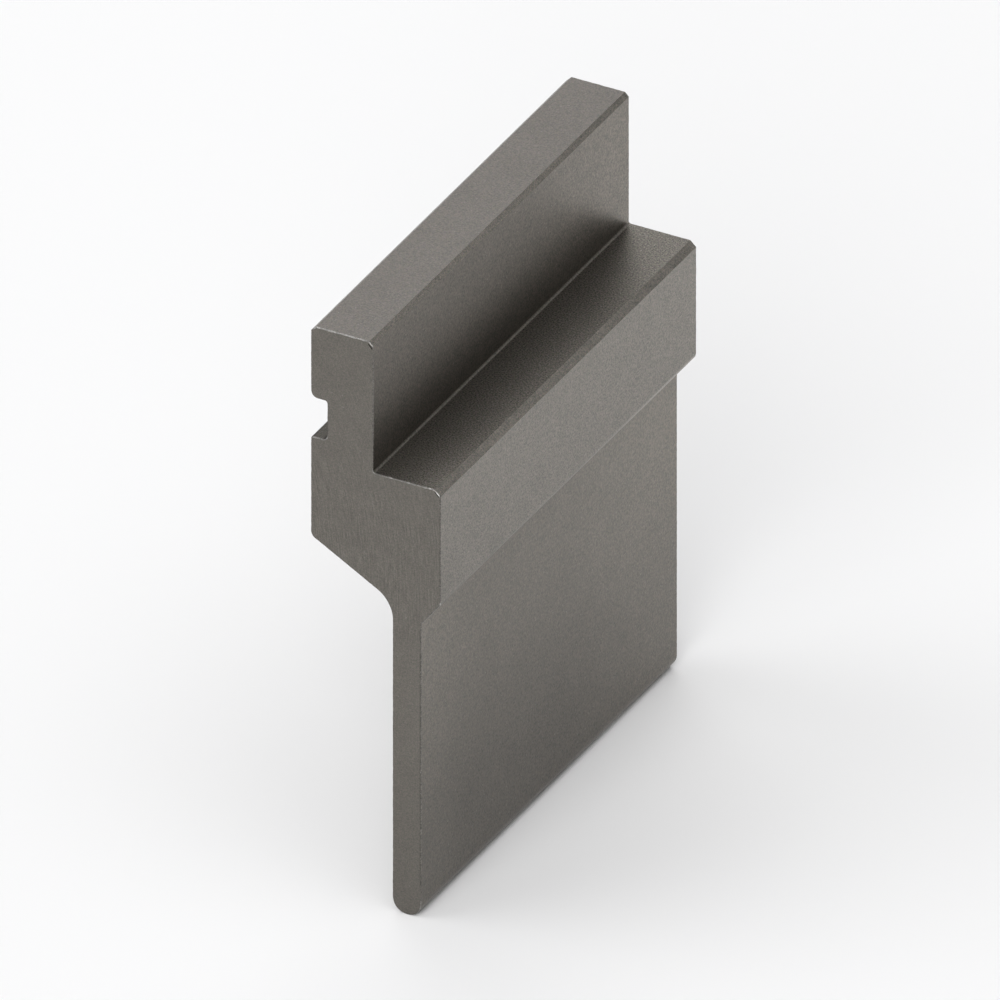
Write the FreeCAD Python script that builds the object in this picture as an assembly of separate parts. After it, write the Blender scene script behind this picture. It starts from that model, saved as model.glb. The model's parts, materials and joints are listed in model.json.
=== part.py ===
import FreeCAD, Part
import math
import os

# Press brake punch, ground from one bar of tool steel. Sizes are in millimetres.
# X runs across the tool with the shoulder on the plus side, Y along the bend, Z up.
# The origin lies on the shoulder seat, midway along the tool and over the nose.

# Main sizes
length = 100.0              # along the bend
working_height = 93.0       # from the shoulder seat down to the tip of the nose
shoulder_width = 14.0       # the seat, centred over the nose
blade_thickness = 6.0       # the nose is rounded by half of this
tang_thickness = 13.0
tang_height = 28.0          # from the shoulder seat up to the tang's top

# Body between the shoulder and the blade
front_wall_height = 24.5    # from the shoulder seat down to the front bevel
front_bevel_height = 5.2    # from the front wall's foot down to the blade
back_wall_height = 17.1     # from the level of the shoulder seat down to the relief
relief_angle = 29.4         # slope of the relief under the body, in degrees
relief_fillet = 6.0         # where the relief runs into the blade
body_corner_radius = 1.5    # the body's two lower corners
seat_corner_radius = 0.4    # inside corner between the tang and the seat

# Safety groove along the back of the tang
groove_floor_height = 4.2   # above the shoulder seat
groove_height = 8.4
groove_depth = 3.4
groove_lip_radius = 1.5     # rounded edge over the groove's mouth
groove_sill_radius = 0.45   # edge under the mouth
groove_roof_radius = 0.5    # inside corner under the roof
groove_floor_radius = 1.0   # inside corner on the floor

# Edges
tang_front_chamfer = 0.85
tang_back_chamfer = 1.05
shoulder_chamfer = 1.2
end_edge_break = 0.2        # all round both end faces

NO_ROUNDING = 0.0
SHORTEST_LINE = 1e-6        # two roundings that meet leave no line between them


def unit_step(start, end):
    """Return the direction from one profile point to the next."""
    return (end - start).normalize()


def rounded_wire(corners):
    """Join (x, z, radius) corners with lines, each corner replaced by a tangent arc."""
    points = [FreeCAD.Vector(x, 0, z) for x, z, radius in corners]
    count = len(points)
    roundings = []
    for i, (x, z, radius) in enumerate(corners):
        to_last = unit_step(points[i], points[i - 1])
        to_next = unit_step(points[i], points[(i + 1) % count])
        half_opening = to_last.getAngle(to_next) / 2
        setback = radius / math.tan(half_opening)
        first = points[i] + to_last * setback
        last = points[i] + to_next * setback
        bisector = (to_last + to_next).normalize()
        middle = points[i] + bisector * (radius / math.sin(half_opening) - radius)
        roundings.append((first, middle, last))
    edges = []
    for i, (first, middle, last) in enumerate(roundings):
        if first.distanceToPoint(last) > SHORTEST_LINE:
            edges.append(Part.Arc(first, middle, last).toShape())
        next_first = roundings[(i + 1) % count][0]
        if last.distanceToPoint(next_first) > SHORTEST_LINE:
            edges.append(Part.LineSegment(last, next_first).toShape())
    return Part.Wire(edges)


def tang_corners():
    """Corners of the tang, from the groove's sill up and over to the seat."""
    front = -shoulder_width / 2
    back = front - tang_thickness
    groove_wall = back + groove_depth
    groove_roof = groove_floor_height + groove_height
    return [
        (back, groove_floor_height, groove_sill_radius),
        (groove_wall, groove_floor_height, groove_floor_radius),
        (groove_wall, groove_roof, groove_roof_radius),
        (back, groove_roof, groove_lip_radius),
        (back, tang_height - tang_back_chamfer, NO_ROUNDING),
        (back + tang_back_chamfer, tang_height, NO_ROUNDING),
        (front - tang_front_chamfer, tang_height, NO_ROUNDING),
        (front, tang_height - tang_front_chamfer, NO_ROUNDING),
        (front, 0, seat_corner_radius),
    ]


def body_corners():
    """Corners from the shoulder's edge down the front, round the nose and up the relief."""
    front = shoulder_width / 2
    back = -shoulder_width / 2 - tang_thickness
    blade_side = blade_thickness / 2
    relief_drop = (-blade_side - back) * math.tan(math.radians(relief_angle))
    return [
        (front - shoulder_chamfer, 0, NO_ROUNDING),
        (front, -shoulder_chamfer, NO_ROUNDING),
        (front, -front_wall_height, body_corner_radius),
        (blade_side, -front_wall_height - front_bevel_height, NO_ROUNDING),
        (blade_side, -working_height, blade_thickness / 2),
        (-blade_side, -working_height, blade_thickness / 2),
        (-blade_side, -back_wall_height - relief_drop, relief_fillet),
        (back, -back_wall_height, body_corner_radius),
    ]


def punch():
    """Extrude the profile along the bend and break the edges of both end faces."""
    profile = Part.Face(rounded_wire(tang_corners() + body_corners()))
    profile.translate(FreeCAD.Vector(0, -length / 2, 0))
    bar = profile.extrude(FreeCAD.Vector(0, length, 0))
    end_edges = [edge for edge in bar.Edges if edge.BoundBox.YLength < end_edge_break]
    return bar.makeChamfer(end_edge_break, end_edges)


os.makedirs("parts", exist_ok=True)
punch().exportStep("parts/punch.step")
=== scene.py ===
import json
import math

import bmesh
import bpy
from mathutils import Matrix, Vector, geometry, noise


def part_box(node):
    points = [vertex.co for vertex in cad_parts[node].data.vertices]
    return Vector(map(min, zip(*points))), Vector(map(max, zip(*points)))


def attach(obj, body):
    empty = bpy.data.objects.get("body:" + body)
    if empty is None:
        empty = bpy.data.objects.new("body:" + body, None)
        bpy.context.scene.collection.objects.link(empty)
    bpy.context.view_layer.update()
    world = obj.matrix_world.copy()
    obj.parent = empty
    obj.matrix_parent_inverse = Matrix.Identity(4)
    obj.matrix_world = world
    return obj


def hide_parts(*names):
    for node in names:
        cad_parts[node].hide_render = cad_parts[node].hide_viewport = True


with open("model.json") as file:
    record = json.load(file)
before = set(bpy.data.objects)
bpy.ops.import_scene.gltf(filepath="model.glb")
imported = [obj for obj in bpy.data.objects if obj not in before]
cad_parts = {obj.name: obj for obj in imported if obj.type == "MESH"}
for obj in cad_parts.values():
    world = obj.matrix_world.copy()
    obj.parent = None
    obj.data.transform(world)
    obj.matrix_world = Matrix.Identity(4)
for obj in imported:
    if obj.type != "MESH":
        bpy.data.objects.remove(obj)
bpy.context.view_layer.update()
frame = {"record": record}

mm = 0.001  # sizes are written in millimetres, and the scene is in metres
samePlace = 0.001  # points closer than this, in millimetres, count as one
low, high = [Vector(corner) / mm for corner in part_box("punch")]
mountPlace = {mount["name"]: Vector(mount["pos_m"]) / mm for mount in frame["record"]["mounts"]}
seatLevel = mountPlace["shoulder_seat"].z
tangFace = mountPlace["tang_front_face"].x


# The camera looks the way the photo does

photoView = {
    "azimuth": 28.04,  # in degrees, from straight in front of the near end
    "elevation": 31.37,
    "widthShown": 183.66,
    "aim": (18.52, -48.40, 0.61),  # the point in the middle of the picture
    "distance": 600,
}


def placeCamera():
    turn = math.radians(photoView["azimuth"])
    rise = math.radians(photoView["elevation"])
    back = Vector((
        math.sin(turn) * math.cos(rise),
        -math.cos(turn) * math.cos(rise),
        math.sin(rise),
    ))
    lens = bpy.data.cameras.new("photoCamera")
    lens.type = "ORTHO"
    lens.ortho_scale = photoView["widthShown"] * mm
    camera = bpy.data.objects.new("photoCamera", lens)
    bpy.context.collection.objects.link(camera)
    camera.location = (Vector(photoView["aim"]) + back * photoView["distance"]) * mm
    camera.rotation_euler = (math.pi / 2 - rise, 0, turn)
    bpy.context.scene.camera = camera


placeCamera()
bpy.context.scene.view_settings.view_transform = "Standard"
print("camera placed")


# Node helpers

def addNode(tree, kind, inputs=None, **settings):
    node = tree.nodes.new(kind)
    for name, value in settings.items():
        setattr(node, name, value)
    for socket, value in (inputs or {}).items():
        if isinstance(value, bpy.types.NodeSocket):
            tree.links.new(value, node.inputs[socket])
        else:
            node.inputs[socket].default_value = value
    return node


def calculate(tree, operation, *values):
    return addNode(tree, "ShaderNodeMath", dict(enumerate(values)), operation=operation).outputs[0]


def calculateVector(tree, operation, *values):
    node = addNode(tree, "ShaderNodeVectorMath", dict(enumerate(values)), operation=operation)
    return node.outputs["Value" if operation in ("DOT_PRODUCT", "DISTANCE") else "Vector"]


def scaleVector(tree, vector, factor):
    inputs = {"Vector": vector, "Scale": factor}
    return addNode(tree, "ShaderNodeVectorMath", inputs, operation="SCALE").outputs["Vector"]


def clamp(tree, value):
    return addNode(tree, "ShaderNodeClamp", {"Value": value}).outputs[0]


def fade(tree, value, start, end, startLevel=0.0, endLevel=1.0):
    return addNode(tree, "ShaderNodeMapRange", {
        "Value": value,
        "From Min": start, "From Max": end,
        "To Min": startLevel, "To Max": endLevel,
    }, interpolation_type="SMOOTHSTEP").outputs[0]


def objectMillimetres(tree):
    place = addNode(tree, "ShaderNodeTexCoord").outputs["Object"]
    return scaleVector(tree, place, 1 / mm)


def objectAxes(tree):
    return addNode(tree, "ShaderNodeSeparateXYZ", {0: objectMillimetres(tree)}).outputs


def newGroup(name, inputs, outputs):
    tree = bpy.data.node_groups.new(name, "ShaderNodeTree")
    for label, value in inputs.items():
        socket = tree.interface.new_socket(label, in_out="INPUT", socket_type="NodeSocketFloat")
        socket.default_value = value
    for label, kind in outputs.items():
        tree.interface.new_socket(label, in_out="OUTPUT", socket_type=kind)
    return tree, tree.nodes.new("NodeGroupInput").outputs, tree.nodes.new("NodeGroupOutput").inputs


def placeGroup(tree, group, inputs):
    node = addNode(tree, "ShaderNodeGroup", node_tree=group)
    for socket, value in inputs.items():
        node.inputs[socket].default_value = value
    return node.outputs


# What all the steel finishes share
steelPattern = {
    "wearAndGlintShade": 0.75,  # reflectance of freshly rubbed steel, also given to the painted highlights on the near edges
    "wearAndGlintTint": (1.02, 1.0, 0.97),
    "bumpHeight": 0.035,
    "noiseDetail": {"Speckle": 1.0, "Mottle": 3.0, "Arcs": 2.0},  # finer layers in each pattern
    "noiseRoughness": 0.6,  # strength of each finer layer beside the one before
    "arcCentre": (-110, -26),  # x and z of the point that the arcs go round
    # z where the arcs are at their weakest, and where they show in full
    "arcHead": {"start": 8, "end": -8, "startLevel": 0.35},
    "arcFoot": {"start": -45, "end": -28},
    # y where the painted light and shade of each end starts to show, and where it shows in full
    "paintedLightNear": (-28, -50),
    "paintedLightFar": (0, 46),
}


def noiseCloud(tree, place, scale, pattern):
    return addNode(tree, "ShaderNodeTexNoise", {
        "Vector": place,
        "Scale": scale,
        "Detail": steelPattern["noiseDetail"][pattern],
        "Roughness": steelPattern["noiseRoughness"],
    }).outputs


def centred(tree, level):
    # the noise lies about 0.5, and this puts it about 0
    return calculate(tree, "SUBTRACT", level, 0.5)


def makeGrainGroup():
    # fine speckle with a little colour in it, over slow mottling
    tree, given, result = newGroup(
        "steelGrain",
        {"Speckle": 1.0, "Speckle Size": 0.3, "Hue": 0.3, "Mottle": 0.05, "Mottle Size": 6.0},
        {"Tone": "NodeSocketColor", "Height": "NodeSocketFloat"},
    )
    place = objectMillimetres(tree)
    tone = 1.0
    clouds = {}
    for label in ("Speckle", "Mottle"):
        scale = calculate(tree, "DIVIDE", 1.0, given[label + " Size"])
        clouds[label] = noiseCloud(tree, place, scale, label)
        signed = centred(tree, clouds[label]["Fac"])
        tone = calculate(tree, "MULTIPLY_ADD", signed, given[label], tone)
    speckle = clouds["Speckle"]
    hue = calculateVector(tree, "SUBTRACT", speckle["Color"], speckle["Fac"])
    hue = scaleVector(tree, hue, given["Hue"])
    tree.links.new(calculateVector(tree, "ADD", hue, tone), result["Tone"])
    tree.links.new(centred(tree, speckle["Fac"]), result["Height"])
    return tree


def makeArcGroup():
    # the fine lines that a cutter leaves on an end face: arcs round a far point
    tree, given, result = newGroup(
        "cutterArcs",
        {"Strength": 0.2, "Line Width": 0.3, "Line Length": 7.0},
        {"Tone": "NodeSocketFloat", "Height": "NodeSocketFloat"},
    )
    place = objectAxes(tree)
    centreX, centreZ = steelPattern["arcCentre"]
    across = calculate(tree, "SUBTRACT", place["X"], centreX)
    up = calculate(tree, "SUBTRACT", place["Z"], centreZ)
    upSquared = calculate(tree, "MULTIPLY", up, up)
    radius = calculate(tree, "SQRT", calculate(tree, "MULTIPLY_ADD", across, across, upSquared))
    along = calculate(tree, "MULTIPLY", calculate(tree, "ARCTAN2", up, across), radius)
    lines = addNode(tree, "ShaderNodeCombineXYZ", {
        "X": calculate(tree, "DIVIDE", radius, given["Line Width"]),
        "Y": place["Y"],
        "Z": calculate(tree, "DIVIDE", along, given["Line Length"]),
    }).outputs[0]
    signed = centred(tree, noiseCloud(tree, lines, 1.0, "Arcs")["Fac"])
    for border in ("arcHead", "arcFoot"):
        share = fade(tree, place["Z"], **steelPattern[border])
        signed = calculate(tree, "MULTIPLY", signed, share)
    tone = calculate(tree, "MULTIPLY_ADD", signed, given["Strength"], 1.0)
    tree.links.new(tone, result["Tone"])
    tree.links.new(signed, result["Height"])
    return tree


def makeSpeckGroup():
    # sparse light specks where something hard has touched the face
    tree, given, result = newGroup(
        "lightSpecks",
        {"Spacing": 1.2, "Size": 0.12},
        {"Mask": "NodeSocketFloat"},
    )
    place = objectMillimetres(tree)
    scale = calculate(tree, "DIVIDE", 1.0, given["Spacing"])
    cells = addNode(tree, "ShaderNodeTexVoronoi", {"Vector": place, "Scale": scale})
    reach = calculate(tree, "MULTIPLY", given["Size"], scale)
    share = calculate(tree, "DIVIDE", cells.outputs["Distance"], reach)
    mask = clamp(tree, calculate(tree, "SUBTRACT", 1.0, share))
    tree.links.new(mask, result["Mask"])
    return tree


def makeShadeStrokeGroup():
    # a soft stroke of painted shade between two points of an end face
    tree, given, result = newGroup(
        "shadeStroke",
        {"Start X": 0, "Start Z": 0, "End X": 1, "End Z": 1, "Width": 0.3, "Strength": 1.0},
        {"Mask": "NodeSocketFloat"},
    )
    place = objectAxes(tree)
    here, start, end = [
        addNode(tree, "ShaderNodeCombineXYZ", {"X": x, "Z": z}).outputs[0]
        for x, z in (
            (place["X"], place["Z"]),
            (given["Start X"], given["Start Z"]),
            (given["End X"], given["End Z"]),
        )
    ]
    stroke = calculateVector(tree, "SUBTRACT", end, start)
    reach = calculateVector(tree, "SUBTRACT", here, start)
    covered = calculateVector(tree, "DOT_PRODUCT", reach, stroke)
    whole = calculateVector(tree, "DOT_PRODUCT", stroke, stroke)
    share = clamp(tree, calculate(tree, "DIVIDE", covered, whole))
    gap = calculateVector(tree, "DISTANCE", reach, scaleVector(tree, stroke, share))
    halfWidth = calculate(tree, "MULTIPLY", given["Width"], 0.5)
    mask = fade(tree, gap, 0.0, halfWidth, 1.0, 0.0)
    tree.links.new(calculate(tree, "MULTIPLY", mask, given["Strength"]), result["Mask"])
    return tree


def makePaintedLightGroup():
    # painted light and shade: the tone is lifted or lowered towards each end, and grows darker
    # towards the foot as painted shade
    tree, given, result = newGroup(
        "paintedLightDrift",
        {"Near Gain": 0.0, "Far Gain": 0.0, "Foot Loss": 0.0, "Foot Start": -45, "Foot End": -88},
        {"Tone": "NodeSocketFloat"},
    )
    place = objectAxes(tree)
    tone = 1.0
    for label, reach in (("Near Gain", "paintedLightNear"), ("Far Gain", "paintedLightFar")):
        share = fade(tree, place["Y"], *steelPattern[reach])
        tone = calculate(tree, "MULTIPLY_ADD", share, given[label], tone)
    sunk = fade(tree, place["Z"], given["Foot Start"], given["Foot End"])
    loss = calculate(tree, "MULTIPLY", sunk, given["Foot Loss"])
    tree.links.new(calculate(tree, "SUBTRACT", tone, loss), result["Tone"])
    return tree


# The plain satin finish
satinSteel = {
    "shade": 0.2,
    "tint": (1.07, 1.0, 0.893),
    "roughness": 0.4,
    "roughnessSpread": 0.12,
    "grain": {"Speckle": 1.8, "Speckle Size": 0.3, "Hue": 0.28, "Mottle": 0.2, "Mottle Size": 8.0},
    "specks": {"Spacing": 1.2, "Size": 0.16},
    "speckShare": 0.3,
}

# What each finish changes of it or adds to it. The faces' shades differ as painted light and
# shade, each face set lighter or darker as the light falls on it, the groove darkest in its recess
steelFinishes = {
    "bodyWallSteel": {
        "shade": 0.206,
        "paintedLight": {"Far Gain": 0.05, "Foot Loss": 0.06, "Foot Start": -5, "Foot End": -24},
    },
    "topSteel": {
        "shade": 0.216,
        "tint": (1.07, 1.0, 0.925),
        "grain": {"Speckle": 1.2, "Hue": 0.25},
    },
    "seatSteel": {
        "shade": 0.22,
        "grain": {"Speckle": 3.0, "Speckle Size": 0.31, "Hue": 0.35},
        "paintedLight": {"Near Gain": 0.27, "Far Gain": -0.08},
        "specks": {"Spacing": 1.1, "Size": 0.17},
        "speckShare": 0.5,
    },
    "tangWallSteel": {
        "shade": 0.1425,
        "tint": (1.09, 1.0, 0.874),
        "grain": {"Speckle Size": 0.34},
        "paintedLight": {"Far Gain": 0.3},
        "specks": {"Spacing": 1.1},
    },
    "bladeSteel": {
        "shade": 0.163,
        "tint": (1.08, 1.0, 0.874),
        "grain": {"Speckle": 1.5, "Speckle Size": 0.35},
        "paintedLight": {
            "Near Gain": 0.14, "Far Gain": 0.2,
            "Foot Loss": 0.26, "Foot Start": -35, "Foot End": -82,
        },
        "speckShare": 0.25,
    },
    "grooveSteel": {"shade": 0.105},
    "groundEndSteel": {
        "shade": 0.15,
        "grain": {"Speckle": 0.85, "Speckle Size": 0.26, "Hue": 0.12, "Mottle Size": 5.0},
        "paintedLight": {"Foot Loss": 0.1},
        "arcs": {"Strength": 0.85, "Line Width": 0.26, "Line Length": 4.5},
        "specks": {"Spacing": 2.0, "Size": 0.14},
        "speckShare": 0.2,
    },
    # painted light: the front chamfers are set much lighter than the walls, growing darker towards
    # the far end
    "chamferSteel": {
        "shade": 0.49,
        "roughnessSpread": 0.2,
        "grain": {"Speckle": 1.7, "Hue": 0.3, "Mottle": 0.5, "Mottle Size": 2.5},
        "paintedLight": {"Far Gain": -0.12},
        "specks": {"Spacing": 0.9, "Size": 0.2},
        "speckShare": 0.5,
    },
    # painted highlight along the inner corner between the tang wall and the seat
    "cornerHighlightSteel": {"shade": 0.29},
    # painted highlight along the body's front foot corner, brighter towards the far end
    "bodyFootSteel": {"shade": 0.205, "paintedLight": {"Far Gain": 0.36}},
    # painted shade: the broken edges are set dark, drawing a thin dark line along each end face's
    # edges
    "brokenEdgeSteel": {
        "shade": 0.115,
        "roughness": 0.36,
        "grain": {
            "Speckle": 2.2, "Speckle Size": 0.28, "Hue": 0.2,
            "Mottle": 0.3, "Mottle Size": 2.0,
        },
        "specks": {"Spacing": 0.8, "Size": 0.2},
        "wearAndGlintBy": "rubbed",
        "crumbs": {"start": -0.07, "end": 0.07, "startLevel": 0.6},
    },
}

# Painted shade on the end faces: dark strokes for the shadows of burrs at the front chamfers, and
# dark lines down the front edges
endShadeStrokes = {
    "tangChamfer": {
        "Start X": -7.95, "Start Z": 27.35,
        "End X": -7.25, "End Z": 26.55,
        "Width": 0.55, "Strength": 0.85,
    },
    "shoulderChamfer": {
        "Start X": 5.9, "Start Z": -0.5,
        "End X": 6.65, "End Z": -1.25,
        "Width": 0.55, "Strength": 0.85,
    },
    "bodyEdge": {
        "Start X": 6.8, "Start Z": -2.0,
        "End X": 6.8, "End Z": -24.0,
        "Width": 0.4, "Strength": 0.2,
    },
    "bladeEdge": {
        "Start X": 2.8, "Start Z": -31.0,
        "End X": 2.8, "End Z": -86.0,
        "Width": 0.4, "Strength": 0.42,
    },
}

grainGroup = makeGrainGroup()
arcGroup = makeArcGroup()
speckGroup = makeSpeckGroup()
shadeStrokeGroup = makeShadeStrokeGroup()
paintedLightGroup = makePaintedLightGroup()


def changedFinish(changes):
    finish = dict(satinSteel)
    for part, change in changes.items():
        plain = satinSteel.get(part)
        finish[part] = {**plain, **change} if isinstance(plain, dict) else change
    return finish


def makeSteel(name, changes):
    finish = changedFinish(changes)
    material = bpy.data.materials.new(name)
    material.use_nodes = True
    tree = material.node_tree
    shader = tree.nodes["Principled BSDF"]
    shader.inputs["Metallic"].default_value = 1.0
    grain = placeGroup(tree, grainGroup, finish["grain"])
    tone, height = grain["Tone"], grain["Height"]
    # painted light and shade along the length and towards the foot
    if "paintedLight" in finish:
        paintedLight = placeGroup(tree, paintedLightGroup, finish["paintedLight"])
        tone = scaleVector(tree, tone, paintedLight["Tone"])
    if "arcs" in finish:
        arcs = placeGroup(tree, arcGroup, finish["arcs"])
        tone = scaleVector(tree, tone, arcs["Tone"])
        height = calculate(tree, "ADD", height, arcs["Height"])
        # painted shade strokes on the end faces
        for shadeLine in endShadeStrokes.values():
            stroke = placeGroup(tree, shadeStrokeGroup, shadeLine)["Mask"]
            tone = scaleVector(tree, tone, calculate(tree, "SUBTRACT", 1.0, stroke))
    steel = [part * finish["shade"] for part in finish["tint"]]
    wearAndGlintSteel = [part * steelPattern["wearAndGlintShade"] for part in steelPattern["wearAndGlintTint"]]
    specks = placeGroup(tree, speckGroup, finish["specks"])["Mask"]
    wearAndGlintShare = calculate(tree, "MULTIPLY", specks, finish["speckShare"])
    # rubbed wear and painted highlights along the near edge
    if "wearAndGlintBy" in finish:
        rubbed = addNode(tree, "ShaderNodeAttribute", attribute_name=finish["wearAndGlintBy"])
        crumbs = fade(tree, grain["Height"], **finish["crumbs"])
        shine = calculate(tree, "MULTIPLY", rubbed.outputs["Fac"], crumbs)
        wearAndGlintShare = calculate(tree, "MAXIMUM", wearAndGlintShare, shine)
    colour = addNode(tree, "ShaderNodeMix", {
        "Factor": wearAndGlintShare,
        "A": calculateVector(tree, "MULTIPLY", tone, steel),
        "B": wearAndGlintSteel + [1],
    }, data_type="RGBA")
    tree.links.new(colour.outputs["Result"], shader.inputs["Base Color"])
    rough = calculate(tree, "MULTIPLY_ADD", height, finish["roughnessSpread"], finish["roughness"])
    tree.links.new(rough, shader.inputs["Roughness"])
    bump = addNode(tree, "ShaderNodeBump", {
        "Height": height,
        "Distance": steelPattern["bumpHeight"] * mm,
    })
    tree.links.new(bump.outputs["Normal"], shader.inputs["Normal"])
    return material


steels = {name: makeSteel(name, changes) for name, changes in steelFinishes.items()}
steelSlots = list(steels)
print("steel finishes made:", len(steels))


# The punch's section. Its box, its seat and its tang come from the frame.
punchForm = {
    "grooveFloor": 4.2,  # above the seat
    "grooveHeight": 8.4,
    "grooveDepth": 3.4,
    "frontWallFoot": 24.5,  # below the seat
    "bevelHeight": 5.2,
    "backWallFoot": 17.1,  # below the seat
    "reliefAngle": 29.4,
    "bladeThickness": 6.0,
    "outlineStep": 0.3,  # the outline's lines are cut until hardly longer than this
}

# Size and number of facets of each corner, and its finish where it has one of its own.
# One facet makes a chamfer, and more make an arc.
cornerFinish = {
    "grooveSill": (0.45, 5, None),
    "grooveFloor": (1.0, 8, None),
    "grooveRoof": (0.5, 5, None),
    "grooveLip": (1.5, 10, "bodyWallSteel"),
    "tangBack": (1.05, 1, "bodyWallSteel"),
    "tangFront": (0.85, 1, "chamferSteel"),
    "seatCorner": (0.4, 6, "cornerHighlightSteel"),
    "shoulder": (1.2, 1, "chamferSteel"),
    "bodyFront": (1.5, 8, "bodyFootSteel"),
    "bodyBack": (1.5, 8, None),
    "bevelFoot": (0.3, 3, None),
    "nose": (punchForm["bladeThickness"] / 2, 16, None),
    "relief": (6.0, 14, None),
}

# How the edges are broken, rubbed bright and painted with highlights
edgeWearAndGlint = {
    "sharperThan": 20,  # degrees of turn from which an edge is shaded sharp
    "endBreak": 0.2,
    "breakFacets": 2,
    "wander": 0.09,  # how far the broken edge wanders
    "leastWander": -0.08,
    "wanderLength": 0.9,
    "middleShare": 0.29,  # how far the middle of the break follows its borders
    "wearAndGlintLength": 0.5,
    "wearAndGlintLeast": 0.55,  # share of the shine that stays everywhere in a bright stretch
    "shineEnd": 1.8,  # in half sizes of a stretch: full up to 0.8 of them, gone at this
    "seed": 7.3,
}

# Stretches of the near end's edge that are rubbed bright and carry painted highlights, some only
# painted a little lighter: x, z, half width, half height and strength
brightStretches = [
    (-13.3, 28.0, 5.6, 0.5, 0.60),
    (-18.7, 28.0, 0.5, 0.5, 0.90),
    (-15.5, 28.0, 0.8, 0.5, 0.72),
    (-12.2, 28.0, 0.8, 0.5, 0.95),
    (-10.6, 28.0, 0.4, 0.5, 0.60),
    (-7.4, 27.6, 0.4, 0.5, 0.40),
    (-0.5, 0.0, 6.0, 0.5, 0.34),
    (1.2, 0.0, 3.4, 0.5, 0.40),
    (-3.6, 0.0, 0.25, 0.5, 1.00),
    (0.4, 0.0, 0.2, 0.5, 0.80),
    (3.9, 0.0, 0.15, 0.5, 0.90),
    (4.9, 0.0, 0.5, 0.5, 1.00),
    (6.45, -0.65, 0.27, 0.5, 0.90),
    (-18.3, 4.2, 1.4, 0.5, 0.45),
    (-16.8, 4.6, 0.3, 0.5, 0.60),
    (6.95, -24.5, 0.1, 0.3, 1.00),
    (5.0, -27.1, 1.6, 2.0, 0.13),
    (-6.95, 13.0, 0.15, 11.0, 0.12),
    (7.08, -12.5, 0.1, 8.0, 0.15),
    (3.08, -52.0, 0.1, 24.0, 0.25),
    (2.65, -90.3, 0.5, 1.0, 0.25),
]


def sectionOutline():
    # each corner, with the finish of the wall between it and the next one
    grooveWall = low.x + punchForm["grooveDepth"]
    grooveFloor = seatLevel + punchForm["grooveFloor"]
    grooveRoof = grooveFloor + punchForm["grooveHeight"]
    halfBlade = punchForm["bladeThickness"] / 2
    frontFoot = seatLevel - punchForm["frontWallFoot"]
    backFoot = seatLevel - punchForm["backWallFoot"]
    reliefDrop = (-halfBlade - low.x) * math.tan(math.radians(punchForm["reliefAngle"]))
    return [
        (low.x, grooveFloor, "grooveSill", "grooveSteel"),
        (grooveWall, grooveFloor, "grooveFloor", "grooveSteel"),
        (grooveWall, grooveRoof, "grooveRoof", "grooveSteel"),
        (low.x, grooveRoof, "grooveLip", "bodyWallSteel"),
        (low.x, high.z, "tangBack", "topSteel"),
        (tangFace, high.z, "tangFront", "tangWallSteel"),
        (tangFace, seatLevel, "seatCorner", "seatSteel"),
        (high.x, seatLevel, "shoulder", "bodyWallSteel"),
        (high.x, frontFoot, "bodyFront", "bladeSteel"),
        (halfBlade, frontFoot - punchForm["bevelHeight"], "bevelFoot", "bladeSteel"),
        (halfBlade, low.z, "nose", "bladeSteel"),
        (-halfBlade, low.z, "nose", "bladeSteel"),
        (-halfBlade, backFoot - reliefDrop, "relief", "bodyWallSteel"),
        (low.x, backFoot, "bodyBack", "bodyWallSteel"),
    ]


def roundCorner(bm, vert, size, facets):
    # a chamfer is measured along the walls, and an arc by its radius
    first, second = [edge.other_vert(vert).co - vert.co for edge in vert.link_edges]
    setback = size if facets == 1 else size / math.tan(first.angle(second) / 2)
    bmesh.ops.bevel(bm, geom=[vert], offset=setback, offset_type="OFFSET", segments=facets,
                    profile=0.5, affect="VERTICES", material=-1)
    return setback


def drawSection(bm, corners):
    # draws the outline and tells where the corners with a finish of their own are
    verts = [bm.verts.new((x, low.y, z)) for x, z, corner, wall in corners]
    bm.faces.new(verts)
    finished = []
    for vert, (x, z, corner, wall) in zip(verts, corners):
        size, facets, finish = cornerFinish[corner]
        reach = roundCorner(bm, vert, size, facets)
        if finish:
            finished.append((Vector((x, 0, z)), reach, finish))
    bmesh.ops.remove_doubles(bm, verts=bm.verts, dist=samePlace)
    for edge in list(bm.edges):
        cuts = int(edge.calc_length() / punchForm["outlineStep"])
        if cuts:
            bmesh.ops.subdivide_edges(bm, edges=[edge], cuts=cuts)
    return finished


def extrudeBar(bm):
    # pulls the section out to the far end and breaks the edges of both ends
    made = bmesh.ops.extrude_face_region(bm, geom=bm.faces[:])
    moved = [item for item in made["geom"] if isinstance(item, bmesh.types.BMVert)]
    bmesh.ops.translate(bm, verts=moved, vec=(0, high.y - low.y, 0))
    bmesh.ops.recalc_face_normals(bm, faces=bm.faces)
    ends = [edge for edge in bm.edges
            if abs(edge.verts[0].co.y - edge.verts[1].co.y) < samePlace]
    made = bmesh.ops.bevel(bm, geom=ends, offset=edgeWearAndGlint["endBreak"], offset_type="OFFSET",
                           segments=edgeWearAndGlint["breakFacets"], profile=0.5, affect="EDGES",
                           material=-1, clamp_overlap=False)
    return made["faces"]


def limited(share):
    return min(max(share, 0), 1)


def wallFinish(spot, walls, finished):
    # the finish of the corner that the spot lies on, or else of the nearest wall
    for corner, reach, finish in finished:
        if (spot - corner).length < reach:
            return finish

    def gap(wall):
        start, end, finish = wall
        nearest, share = geometry.intersect_point_line(spot, start, end)
        return (spot - start.lerp(end, limited(share))).length

    return min(walls, key=gap)[2]


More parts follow.
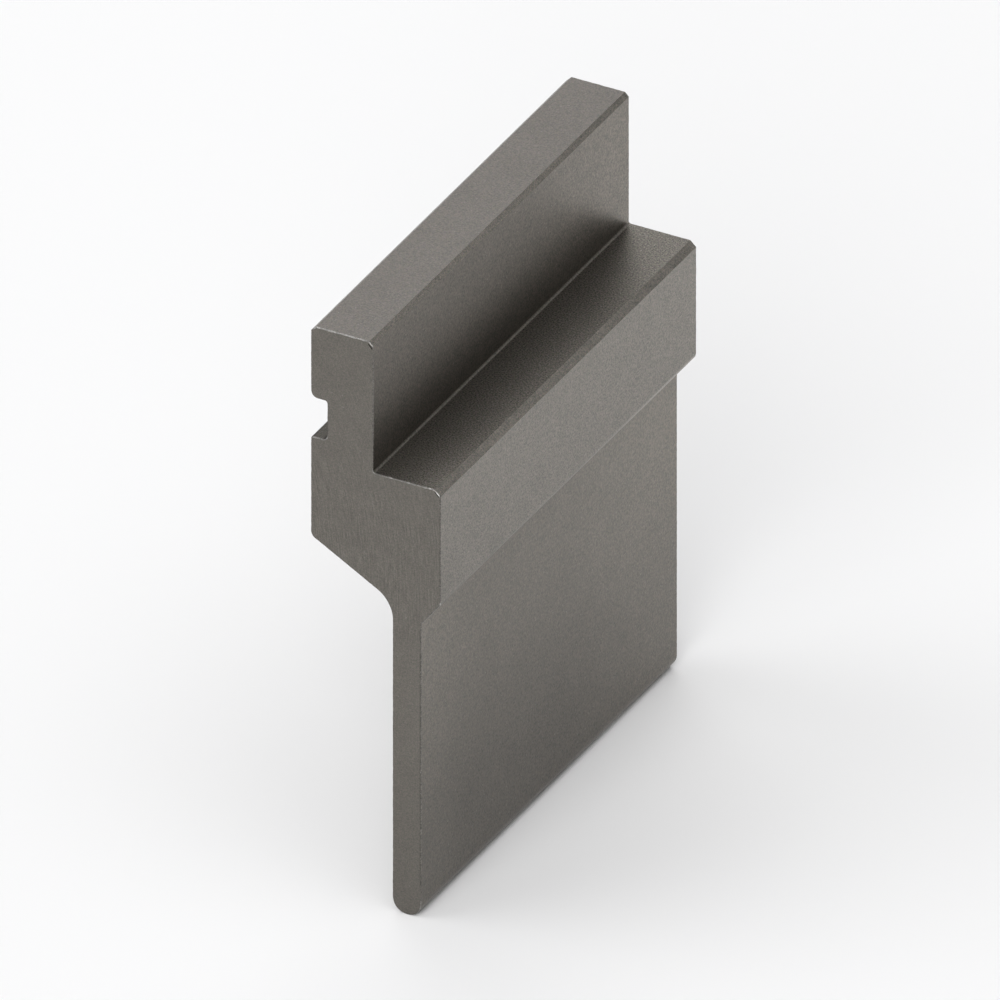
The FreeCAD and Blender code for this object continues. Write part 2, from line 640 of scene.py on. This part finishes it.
def giveSlots(bm, corners, finished, brokenFaces):
    points = [Vector((x, 0, z)) for x, z, corner, wall in corners]
    finishes = [wall for x, z, corner, wall in corners]
    walls = list(zip(points, points[1:] + points[:1], finishes))
    for face in bm.faces:
        face.smooth = True
        if face in brokenFaces:
            slot = "brokenEdgeSteel"
        elif len(face.verts) > 4:  # only the two end faces have this many
            slot = "groundEndSteel"
        else:
            middle = face.calc_center_median()
            slot = wallFinish(Vector((middle.x, 0, middle.z)), walls, finished)
        face.material_index = steelSlots.index(slot)


def shineAt(spot):
    # how bright the near edge is rubbed and painted with highlights at this spot
    level = 0
    for x, z, halfWidth, halfHeight, strength in brightStretches:
        gap = max(abs(spot.x - x) / halfWidth, abs(spot.z - z) / halfHeight)
        level = max(level, strength * limited(edgeWearAndGlint["shineEnd"] - gap))
    return level


def wearAndGlintEnds(bm):
    # lets the broken edges wander, and keeps the rubbing and painted highlights of the near one as
    # an attribute
    bm.normal_update()
    rubbed = bm.verts.layers.float.new("rubbed")
    seed = Vector((0, edgeWearAndGlint["seed"], 0))
    least = edgeWearAndGlint["wearAndGlintLeast"]
    moves = {}
    for vert in bm.verts:
        side = math.copysign(1, vert.co.y)
        depth = high.y - abs(vert.co.y)
        outward = Vector((vert.normal.x, 0, vert.normal.z)).normalized()
        extra = noise.noise(vert.co / edgeWearAndGlint["wanderLength"] + seed) * edgeWearAndGlint["wander"]
        extra = max(extra, edgeWearAndGlint["leastWander"])
        if depth < samePlace:  # the ring on the end face
            moves[vert] = -outward * extra
        elif depth < edgeWearAndGlint["endBreak"] / 2:  # the ring in the middle of the break
            moves[vert] = (outward + Vector((0, side, 0))) * extra * -edgeWearAndGlint["middleShare"]
        else:  # the ring on the walls
            moves[vert] = Vector((0, -side * extra, 0))
        if side < 0:
            share = limited(noise.noise(vert.co / edgeWearAndGlint["wearAndGlintLength"] + seed * 2) + 0.5)
            vert[rubbed] = shineAt(vert.co) * (least + (1 - least) * share)
    for vert, move in moves.items():
        vert.co += move


def makePunch():
    bm = bmesh.new()
    corners = sectionOutline()
    finished = drawSection(bm, corners)
    brokenFaces = set(extrudeBar(bm))
    giveSlots(bm, corners, finished, brokenFaces)
    wearAndGlintEnds(bm)
    for edge in bm.edges:
        edge.smooth = edge.calc_face_angle(0) < math.radians(edgeWearAndGlint["sharperThan"])
    bmesh.ops.scale(bm, vec=(mm, mm, mm), verts=bm.verts)
    mesh = bpy.data.meshes.new("dressedPunch")
    bm.to_mesh(mesh)
    bm.free()
    piece = bpy.data.objects.new("dressedPunch", mesh)
    bpy.context.collection.objects.link(piece)
    for name in steelSlots:
        mesh.materials.append(steels[name])
    return piece


punch = makePunch()
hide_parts("punch")
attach(punch, "root")
print("punch dressed:", len(punch.data.polygons), "faces")


# Pale floor and soft studio light

studio = {
    "floorSize": 8000,
    "floorColour": (0.905, 0.905, 0.91),
    "floorRoughness": 0.9,
    "floorShine": 0.0,
    "room": 0.196,  # brightness of the room round the softboxes
    # for each softbox its direction and height, the half widths of its bright middle
    # and of the whole box, all in degrees, and its brightness
    "softboxes": [
        (-80, 30, 8, 28, 5.86),
        (-150, 45, 8, 28, 1.81),
        (120, 52, 8, 28, 1.64),
        (-20, 70, 8, 28, 1.8),
    ],
}


def makeFloor():
    bpy.ops.mesh.primitive_plane_add(size=studio["floorSize"] * mm, location=(0, 0, low.z * mm))
    floor = bpy.context.object
    floor.name = "paleFloor"
    paint = bpy.data.materials.new("paleFloorPaint")
    paint.use_nodes = True
    shader = paint.node_tree.nodes["Principled BSDF"]
    shader.inputs["Base Color"].default_value = (*studio["floorColour"], 1)
    shader.inputs["Roughness"].default_value = studio["floorRoughness"]
    shader.inputs["Specular IOR Level"].default_value = studio["floorShine"]
    floor.data.materials.append(paint)


def makeSky():
    world = bpy.data.worlds.new("softStudio")
    bpy.context.scene.world = world
    world.use_nodes = True
    tree = world.node_tree
    direction = addNode(tree, "ShaderNodeTexCoord").outputs["Generated"]
    brightness = studio["room"]
    for box in studio["softboxes"]:
        turn, rise, middle, border = [math.radians(angle) for angle in box[:4]]
        towards = (
            math.cos(rise) * math.cos(turn),
            math.cos(rise) * math.sin(turn),
            math.sin(rise),
        )
        cosine = calculateVector(tree, "DOT_PRODUCT", direction, towards)
        share = fade(tree, cosine, math.cos(border), math.cos(middle))
        brightness = calculate(tree, "MULTIPLY_ADD", share, box[4], brightness)
    background = tree.nodes["Background"]
    background.inputs["Color"].default_value = (1, 1, 1, 1)
    tree.links.new(brightness, background.inputs["Strength"])


makeFloor()
makeSky()
print("floor and light made")
